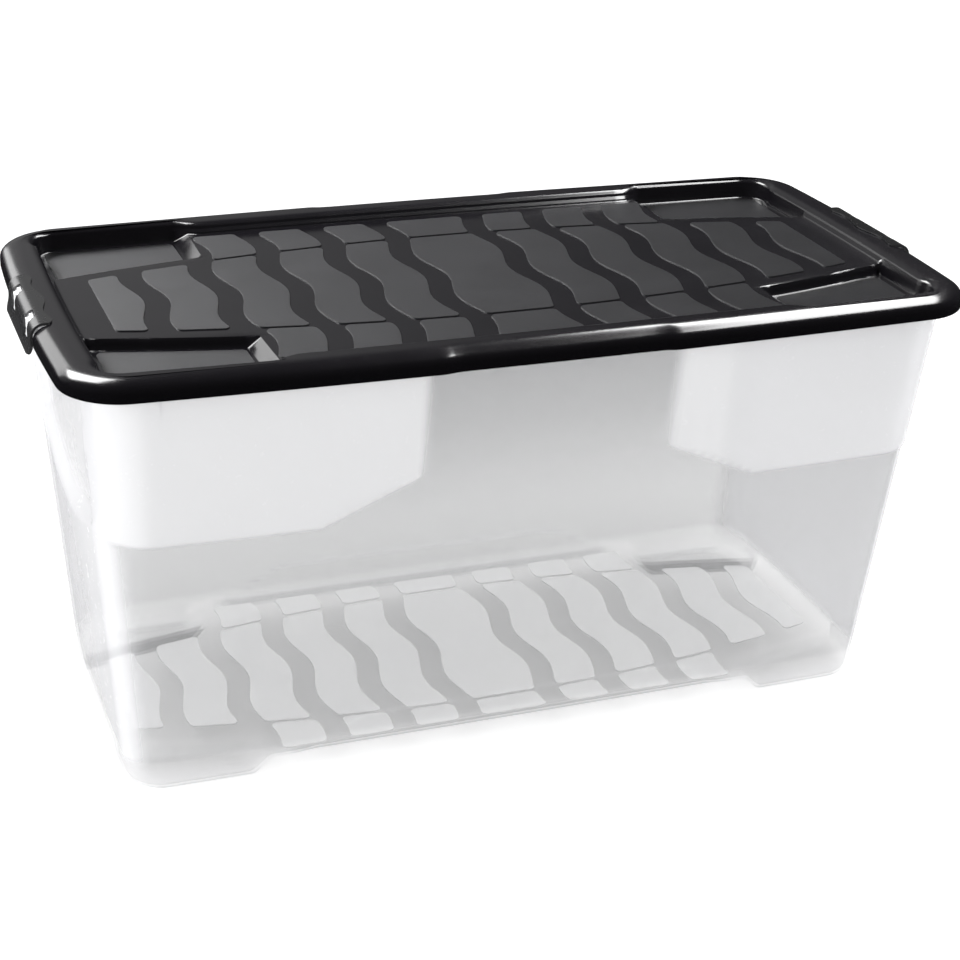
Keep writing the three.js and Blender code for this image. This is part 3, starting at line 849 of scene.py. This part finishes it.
def window_cutter():
    """Two arched bars that cut the windows through the tab."""
    bm = bmesh.new()
    top = LID_TOP + 5
    for row in (1, -1):
        middle = row * WINDOW_Y
        outline = [(middle - WINDOW_HALF, WINDOW_LOW_Z), (middle + WINDOW_HALF, WINDOW_LOW_Z)]
        for angle in np.linspace(0, math.pi, 17):
            outline.append((middle + WINDOW_HALF * math.cos(angle),
                            top - WINDOW_HALF + WINDOW_HALF * math.sin(angle)))
        near = [bm.verts.new((WINDOW_INNER_X * MM, y * MM, z * MM)) for y, z in outline]
        far = [bm.verts.new((CUT_OUT_X * MM, y * MM, z * MM)) for y, z in outline]
        bm.faces.new(near)
        bm.faces.new(far[::-1])
        for i in range(len(near)):
            j = (i + 1) % len(near)
            bm.faces.new((near[j], near[i], far[i], far[j]))
    bmesh.ops.recalc_face_normals(bm, faces=bm.faces)
    return bmesh_to_mesh(bm, "window_cutter")


def make_clips(material):
    base = scene_object("clip_base", clip_mesh())
    cut(base, window_cutter(), "windows")
    tabs = []
    for body, turn in (("clip_right", 0), ("clip_left", math.pi)):
        mesh = base.data.copy()
        mesh.transform(Matrix.Rotation(turn, 4, "Z"))
        shade(mesh, 32)
        tab = new_piece(body + "_tab", mesh, material, body)
        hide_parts(body)
        tabs.append(tab)
    bpy.data.objects.remove(base)
    return tabs


# ---- raised pads ------------------------------------------
def pads_tree():
    """Geometry Nodes: rounds closed outlines, fills them and raises them into pads."""
    tree = bpy.data.node_groups.new("raised_pads", "GeometryNodeTree")
    add_socket(tree, "Outlines", "INPUT", "Geometry")
    keys = {name: add_socket(tree, name, "INPUT", kind).identifier for name, kind in (
        ("Corner Radius", "Float"), ("Height", "Float"), ("Base Level", "Float"), ("Finish", "Material"))}
    add_socket(tree, "Pads", "OUTPUT", "Geometry")
    link = tree.links.new
    inputs = add_node(tree, "NodeGroupInput")
    outputs = add_node(tree, "NodeGroupOutput")
    fillet = add_node(tree, "GeometryNodeFilletCurve", {"Count": 4, "Limit Radius": True}, mode="POLY")
    fill = add_node(tree, "GeometryNodeFillCurve", mode="TRIANGLES")
    raised = add_node(tree, "GeometryNodeExtrudeMesh", {"Individual": False}, mode="FACES")
    upwards = add_node(tree, "ShaderNodeCombineXYZ", {"Z": 1.0})
    link(upwards.outputs[0], raised.inputs["Offset"])
    flipped = add_node(tree, "GeometryNodeFlipFaces")
    both = add_node(tree, "GeometryNodeJoinGeometry")
    lifted = add_node(tree, "GeometryNodeTransform")
    level = add_node(tree, "ShaderNodeCombineXYZ")
    merged = add_node(tree, "GeometryNodeMergeByDistance", {"Distance": 1e-6})
    realized = add_node(tree, "GeometryNodeRealizeInstances")
    finish = add_node(tree, "GeometryNodeSetMaterial")
    link(inputs.outputs["Outlines"], fillet.inputs["Curve"])
    link(inputs.outputs["Corner Radius"], fillet.inputs["Radius"])
    link(fillet.outputs["Curve"], fill.inputs["Curve"])
    link(fill.outputs["Mesh"], raised.inputs["Mesh"])
    link(inputs.outputs["Height"], raised.inputs["Offset Scale"])
    link(fill.outputs["Mesh"], flipped.inputs["Mesh"])
    link(flipped.outputs["Mesh"], both.inputs["Geometry"])
    link(raised.outputs["Mesh"], both.inputs["Geometry"])
    link(inputs.outputs["Base Level"], level.inputs["Z"])
    link(both.outputs["Geometry"], lifted.inputs["Geometry"])
    link(level.outputs[0], lifted.inputs["Translation"])
    link(lifted.outputs["Geometry"], merged.inputs["Geometry"])
    link(merged.outputs["Geometry"], realized.inputs["Geometry"])
    link(realized.outputs["Geometry"], finish.inputs["Geometry"])
    link(inputs.outputs["Finish"], finish.inputs["Material"])
    link(finish.outputs["Geometry"], outputs.inputs["Pads"])
    return tree, keys


def pad_columns():
    """(low x, high x, low edge waves, high edge waves) of the columns on the +X half and the middle."""
    columns = [(-PAD_CENTRE_HALF, PAD_CENTRE_HALF, True, True)]
    x = PAD_CENTRE_HALF + PAD_GAP
    while x < PAD_END_X - PAD_LEAST:
        high = min(x + PAD_WIDTH, PAD_END_X)
        columns.append((x, high, True, high < PAD_END_X))
        x += PAD_WIDTH + PAD_GAP
    return columns


def row_edge(x):
    """Where the middle row of pads ends: a curve like that of the feet."""
    return PAD_ROW_Y + FOOT_CURVE_RISE * (1 - (x / FOOT_CURVE_SPAN) ** 2)


def pad_outline(x_low, x_high, waves, y_low, y_high):
    """Closed outline of one pad; y_low and y_high give the edge's place at an x."""
    def edge(x, wavy, start, stop):
        run = math.copysign(PAD_ROUND + 1, stop - start)
        points = max(2, int(abs(stop - start) / PAD_EDGE_STEP))
        ys = np.concatenate([[start], np.linspace(start + run, stop - run, points), [stop]])
        shift = math.copysign(PAD_WAVE, x) * np.cos(2 * math.pi * ys / PAD_WAVE_LENGTH) if wavy else 0 * ys
        return list(zip(x - shift, ys))
    return (edge(x_high, waves[1], y_low(x_high), y_high(x_high))
            + edge(x_low, waves[0], y_high(x_low), y_low(x_low)))


def pad_outlines(outer_y):
    """All the pads of one pattern: the wavy middle row, and short rows in front and behind."""
    outlines = []
    for low, high, wave_low, wave_high in pad_columns():
        copies = [(low, high, (wave_low, wave_high))]
        if low > 0:
            copies.append((-high, -low, (wave_high, wave_low)))
        for x_low, x_high, waves in copies:
            outlines.append(pad_outline(x_low, x_high, waves, lambda x: -row_edge(x), row_edge))
            if max(abs(x_low), abs(x_high)) > PAD_LAST_ROW_X:
                continue
            outlines.append(pad_outline(x_low, x_high, waves, lambda x: row_edge(x) + PAD_ROW_GAP,
                                        lambda x: outer_y))
            outlines.append(pad_outline(x_low, x_high, waves, lambda x: -outer_y,
                                        lambda x: -row_edge(x) - PAD_ROW_GAP))
    return outlines


def pocket_outlines():
    """One matte field on the floor of each stacking pocket."""
    low = POCKET_INNER_X + POCKET_SLOPE + FIELD_IN_FROM_SLOPE
    high = PANEL_HALF[0] - PANEL_SLOPE - FIELD_IN_FROM_END
    outer = POCKET_HALF_Y - FIELD_IN_FROM_SIDE
    outlines = []
    for side in (1, -1):
        x_low, x_high = sorted((side * low, side * high))
        for row in (1, -1):
            outline = [(x, row * (foot_curve(x) + POCKET_SIDE_SLOPE + FIELD_IN_FROM_SLOPE))
                       for x in np.linspace(x_low, x_high, 14)]
            outline += [(x_high, row * outer), (x_low, row * outer)]
            outlines.append(outline[::row])
    return outlines


def make_pads(name, tree_and_keys, outlines, surface_z, height, material, body):
    """Raises pads of one height on the surface at surface_z, with their upper edges rounded."""
    tree, keys = tree_and_keys
    base_z = surface_z - PAD_SINK
    curve = bpy.data.curves.new(name + "_outlines", "CURVE")
    curve.dimensions = "3D"
    for outline in outlines:
        spline = curve.splines.new("POLY")
        spline.points.add(len(outline) - 1)
        spline.use_cyclic_u = True
        for point, (x, y) in zip(spline.points, outline):
            point.co = (x * MM, y * MM, 0, 1)
    source = scene_object(name + "_outlines", curve)
    modifier = source.modifiers.new("pads", "NODES")
    modifier.node_group = tree
    modifier[keys["Corner Radius"]] = PAD_ROUND * MM
    modifier[keys["Height"]] = height * MM
    modifier[keys["Base Level"]] = base_z * MM
    modifier[keys["Finish"]] = material
    raised = evaluated_mesh(source)
    bpy.data.objects.remove(source)
    bm = bmesh.new()
    bm.from_mesh(raised)
    bpy.data.meshes.remove(raised)
    rim = [edge for edge in bm.edges if len(edge.link_faces) == 2
           and edge.calc_face_angle(0) > PAD_RIM_ANGLE
           and min(vert.co.z for vert in edge.verts) > (base_z + height / 2) * MM]
    bmesh.ops.bevel(bm, geom=rim, offset=EDGE_ROUND * MM, segments=2, affect="EDGES")
    mesh = bmesh_to_mesh(bm, name)
    shade(mesh, 20)
    return new_piece(name, mesh, material, body)


# ---- materials --------------------------------------------
PLASTIC_IOR = 1.49
SURFACE_DIALS = ("Grain Size", "Grain Depth", "Wave Depth", "Roughness", "Roughness Spread", "Scuffs")
GRAIN_HEIGHT = 0.0004
WAVE_HEIGHT = 0.004
SCUFF_RANGE = {"From Min": 0.62, "From Max": 0.72}


def moulded_surface_group():
    """Shared look of moulded plastic: fine grain, slow waviness and faint handling scuffs."""
    tree = bpy.data.node_groups.new("moulded_surface", "ShaderNodeTree")
    for name in SURFACE_DIALS:
        add_socket(tree, name, "INPUT", "Float")
    for name, kind in (("Roughness", "Float"), ("Mottle", "Float"), ("Normal", "Vector")):
        add_socket(tree, name, "OUTPUT", kind)
    link = tree.links.new
    inputs = add_node(tree, "NodeGroupInput")
    outputs = add_node(tree, "NodeGroupOutput")
    place = add_node(tree, "ShaderNodeTexCoord")
    grain = add_node(tree, "ShaderNodeTexNoise", {"Detail": 2.0})
    wave = add_node(tree, "ShaderNodeTexNoise", {"Scale": 14.0, "Detail": 1.0})
    mottle = add_node(tree, "ShaderNodeTexNoise", {"Scale": 22.0, "Detail": 4.0})
    scuff = add_node(tree, "ShaderNodeTexNoise", {"Scale": 160.0, "Detail": 5.0, "Distortion": 1.6})
    for texture in (grain, wave, mottle, scuff):
        link(place.outputs["Object"], texture.inputs["Vector"])
    link(inputs.outputs["Grain Size"], grain.inputs["Scale"])
    fine = add_node(tree, "ShaderNodeBump", {"Distance": GRAIN_HEIGHT})
    link(inputs.outputs["Grain Depth"], fine.inputs["Strength"])
    link(grain.outputs["Fac"], fine.inputs["Height"])
    slow = add_node(tree, "ShaderNodeBump", {"Distance": WAVE_HEIGHT})
    link(inputs.outputs["Wave Depth"], slow.inputs["Strength"])
    link(wave.outputs["Fac"], slow.inputs["Height"])
    link(slow.outputs["Normal"], fine.inputs["Normal"])
    link(fine.outputs["Normal"], outputs.inputs["Normal"])
    centred = add_node(tree, "ShaderNodeMath", {1: 0.5}, operation="SUBTRACT")
    link(mottle.outputs["Fac"], centred.inputs[0])
    spread_out = add_node(tree, "ShaderNodeMath", operation="MULTIPLY_ADD")
    link(centred.outputs[0], spread_out.inputs[0])
    link(inputs.outputs["Roughness Spread"], spread_out.inputs[1])
    link(inputs.outputs["Roughness"], spread_out.inputs[2])
    line = add_node(tree, "ShaderNodeMapRange", SCUFF_RANGE)
    link(scuff.outputs["Fac"], line.inputs["Value"])
    scuffed = add_node(tree, "ShaderNodeMath", operation="MULTIPLY_ADD", use_clamp=True)
    link(line.outputs["Result"], scuffed.inputs[0])
    link(inputs.outputs["Scuffs"], scuffed.inputs[1])
    link(spread_out.outputs[0], scuffed.inputs[2])
    link(scuffed.outputs[0], outputs.inputs["Roughness"])
    link(mottle.outputs["Fac"], outputs.inputs["Mottle"])
    return tree


def moulded_plastic(name, group, dials, alpha=1.0):
    """A material with the moulded surface, set by its dials; its colour is left to the caller."""
    material = bpy.data.materials.new(name)
    material.use_nodes = True
    tree = material.node_tree
    tree.nodes.clear()
    shader = add_node(tree, "ShaderNodeBsdfPrincipled", {"IOR": PLASTIC_IOR, "Alpha": alpha})
    output = add_node(tree, "ShaderNodeOutputMaterial")
    tree.links.new(shader.outputs[0], output.inputs[0])
    surface = add_node(tree, "ShaderNodeGroup", dict(zip(SURFACE_DIALS, dials)), node_tree=group)
    tree.links.new(surface.outputs["Roughness"], shader.inputs["Roughness"])
    tree.links.new(surface.outputs["Normal"], shader.inputs["Normal"])
    return material, shader, surface


def colour_between(tree, shader, source, low, high):
    """Colours the plastic from low to high as the source socket goes from 0 to 1."""
    mix = add_node(tree, "ShaderNodeMix", {"A": (*low, 1), "B": (*high, 1)}, data_type="RGBA")
    tree.links.new(source, mix.inputs["Factor"])
    tree.links.new(mix.outputs["Result"], shader.inputs["Base Color"])


def mottled_plastic(name, group, dials, low, high, alpha=1.0):
    material, shader, surface = moulded_plastic(name, group, dials, alpha)
    colour_between(material.node_tree, shader, surface.outputs["Mottle"], low, high)
    return material


def milky_clear(group):
    """Clear wall: greyish and see-through where it is polished, whiter and denser where it is frosted,
    with the painted shade and painted highlight lines that its attributes carry.
    """
    material, shader, _ = moulded_plastic(
        "milky_clear_polypropylene", group, (500.0, 0.012, 0.06, 0.24, 0.08, 0.06))
    tree = material.node_tree
    frost_and_painted_light = add_node(tree, "ShaderNodeAttribute", attribute_name="frost_and_painted_light")
    colour_between(tree, shader, frost_and_painted_light.outputs["Fac"], (0.36, 0.365, 0.375), (0.97, 0.97, 0.99))
    density = add_node(tree, "ShaderNodeAttribute", attribute_name="milkiness_and_painted_light")
    tree.links.new(density.outputs["Fac"], shader.inputs["Alpha"])
    return material


# ---- stage, lights, camera --------------------------------
def seen_directly(tree, path):
    """1 for what the eye sees, also through the clear plastic."""
    seen = add_node(tree, "ShaderNodeMath", operation="MAXIMUM")
    tree.links.new(path.outputs["Is Camera Ray"], seen.inputs[0])
    tree.links.new(path.outputs["Is Transmission Ray"], seen.inputs[1])
    return seen.outputs[0]


def mix_shaders(tree, factor, first, second):
    mix = add_node(tree, "ShaderNodeMixShader")
    for socket, source in enumerate((factor, first, second)):
        tree.links.new(source, mix.inputs[socket])
    return mix.outputs[0]


def pale_floor():
    """A wide pale floor that reads white to the eye and still takes the box's shadow."""
    bm = bmesh.new()
    bmesh.ops.create_grid(bm, x_segments=1, y_segments=1, size=FLOOR_SIZE)
    mesh = bmesh_to_mesh(bm, "floor")
    floor = scene_object("floor", mesh)
    floor.location.z = -FLOOR_DROP
    material = bpy.data.materials.new("pale_floor")
    material.use_nodes = True
    tree = material.node_tree
    link = tree.links.new
    tree.nodes.clear()
    output = add_node(tree, "ShaderNodeOutputMaterial")
    diffuse = add_node(tree, "ShaderNodeBsdfDiffuse", {"Color": FLOOR_GREY})
    glow = add_node(tree, "ShaderNodeEmission", {"Strength": FLOOR_GLOW})
    add = add_node(tree, "ShaderNodeAddShader")
    link(diffuse.outputs[0], add.inputs[0])
    link(glow.outputs[0], add.inputs[1])
    path = add_node(tree, "ShaderNodeLightPath")
    bright = mix_shaders(tree, seen_directly(tree, path), diffuse.outputs[0], add.outputs[0])
    mirrored = add_node(tree, "ShaderNodeEmission", {"Strength": FLOOR_MIRRORED})
    surface = mix_shaders(tree, path.outputs["Is Glossy Ray"], bright, mirrored.outputs[0])
    link(surface, output.inputs[0])
    mesh.materials.append(material)


def studio_world():
    """White to the eye, an even fill, and a darker room in reflections, palest at the back left."""
    world = bpy.data.worlds.new("studio")
    bpy.context.scene.world = world
    world.use_nodes = True
    tree = world.node_tree
    link = tree.links.new
    tree.nodes.clear()
    output = add_node(tree, "ShaderNodeOutputWorld")
    path = add_node(tree, "ShaderNodeLightPath")
    place = add_node(tree, "ShaderNodeTexCoord")
    aside = add_node(tree, "ShaderNodeVectorMath", {1: ROOM_PALE_SIDE}, operation="DOT_PRODUCT")
    link(place.outputs["Generated"], aside.inputs[0])
    ramp = add_node(tree, "ShaderNodeMapRange", {
        "From Min": ROOM_EDGE[0], "From Max": ROOM_EDGE[1], "To Min": ROOM_DARK, "To Max": ROOM_PALE},
        interpolation_type="SMOOTHSTEP")
    link(aside.outputs["Value"], ramp.inputs["Value"])
    room = add_node(tree, "ShaderNodeBackground", {"Color": WHITE})
    link(ramp.outputs["Result"], room.inputs["Strength"])
    fill = add_node(tree, "ShaderNodeBackground", {"Strength": ROOM_FILL})
    glossy = mix_shaders(tree, path.outputs["Is Glossy Ray"], fill.outputs[0], room.outputs[0])
    white = add_node(tree, "ShaderNodeBackground", {"Color": WHITE, "Strength": 1.0})
    link(mix_shaders(tree, seen_directly(tree, path), glossy, white.outputs[0]), output.inputs[0])


def collection_of(name, pieces):
    group = bpy.data.collections.new(name)
    for piece in pieces:
        group.objects.link(piece)
    return group


def soft_box(name, pieces=None):
    """Adds a lamp of the table. Given pieces, it lights only those."""
    place, aim, size, watts = LAMPS[name]
    light = bpy.data.lights.new(name, "AREA")
    light.shape = "RECTANGLE"
    light.size, light.size_y = size
    light.energy = watts
    lamp = scene_object(name, light)
    lamp.location = place
    lamp.rotation_euler = (Vector(aim) - Vector(place)).to_track_quat("-Z", "Y").to_euler()
    if pieces:
        lamp.light_linking.receiver_collection = collection_of(name + "_takes", pieces)
    return lamp


def highlights(shell, pads, tabs, lugs):
    """Soft boxes that draw the highlights on the black plastic, each on its own pieces."""
    soft_box("left_corner", [shell, lugs])
    soft_box("right_front", [shell])
    soft_box("back_left", pads)
    soft_box("left_tab", [shell, *tabs])


def side_washes():
    """Wide soft light from both sides, which turns the frosted ends white."""
    for name in ("left_side", "right_side"):
        soft_box(name).visible_glossy = False


def inner_fill(pads):
    """Soft light from above that only the floor's pads take, as frosted plastic gathers light."""
    lamp = soft_box("inner_fill", [pads])
    lamp.visible_glossy = False
    lamp.light_linking.blocker_collection = collection_of("inner_fill_blocks", [pads])


def camera():
    lens = bpy.data.cameras.new("camera")
    lens.lens = VIEW_LENS
    lens.sensor_width = 36
    lens.shift_x = VIEW_SHIFT
    eye = scene_object("camera", lens)
    sin, cos = math.sin(VIEW_TURN), math.cos(VIEW_TURN)
    ahead = Vector((sin * math.cos(VIEW_TILT), cos * math.cos(VIEW_TILT), -math.sin(VIEW_TILT)))
    level = Vector((cos, -sin, 0))
    upright = level.cross(ahead)
    right = level * math.cos(VIEW_ROLL) + upright * math.sin(VIEW_ROLL)
    up = upright * math.cos(VIEW_ROLL) - level * math.sin(VIEW_ROLL)
    turn = Matrix((right, up, -ahead)).transposed().to_4x4()
    eye.matrix_world = Matrix.Translation(VIEW_AIM - ahead * VIEW_DISTANCE) @ turn
    bpy.context.scene.camera = eye


# ---- assembly ---------------------------------------------
camera()
pale_floor()
studio_world()
side_washes()
bpy.context.scene.view_settings.view_transform = "Standard"

grain = moulded_surface_group()
black = mottled_plastic("gloss_black_polypropylene", grain, (700.0, 0.02, 0.03, 0.19, 0.05, 0.05),
                        (0.0018, 0.0016, 0.0022), (0.0030, 0.0027, 0.0036))
pad_black = mottled_plastic("matte_black_pads", grain, (2200.0, 0.5, 0.02, 0.50, 0.08, 0.05),
                            (0.012, 0.012, 0.013), (0.018, 0.018, 0.020))
clear = milky_clear(grain)
pad_clear = mottled_plastic("frosted_floor_pads", grain, (2200.0, 0.5, 0.02, 0.5, 0.08, 0.05),
                            (0.95, 0.95, 0.96), (1.0, 1.0, 1.0), alpha=0.55)
make_tub(clear)
# The lugs are solid, so they look white where the thin walls look clear.
lugs = make_lugs(mottled_plastic(
    "thick_milky_polypropylene", grain, (500.0, 0.03, 0.04, 0.30, 0.08, 0.05),
    (0.92, 0.92, 0.93), (0.97, 0.97, 0.98), alpha=0.9))
make_ribs(clear)
shell = make_lid(black)
# The clip tabs are the same black plastic, rubbed by hands, with a paler base colour as a painted sheen.
tabs = make_clips(mottled_plastic(
    "clip_tab_painted_sheen_polypropylene", grain, (900.0, 0.04, 0.04, 0.24, 0.08, 0.12),
    (0.024, 0.024, 0.025), (0.036, 0.036, 0.038)))
pads = pads_tree()
panel_level = LID_TOP - PANEL_DEPTH
lid_pads = make_pads("lid_pads", pads, pad_outlines(LID_PAD_OUTER_Y), panel_level, LID_PAD_HEIGHT,
                     pad_black, "lid")
pocket_fields = make_pads("pocket_fields", pads, pocket_outlines(), panel_level - POCKET_DEPTH,
                          FIELD_HEIGHT, pad_black, "lid")
floor_pads = make_pads("floor_pads", pads, pad_outlines(FLOOR_PAD_OUTER_Y), FOOT_HEIGHT + TUB_WALL,
                       FLOOR_PAD_HEIGHT, pad_clear, "box")
highlights(shell, [lid_pads, pocket_fields], tabs, lugs)
inner_fill(floor_pads)
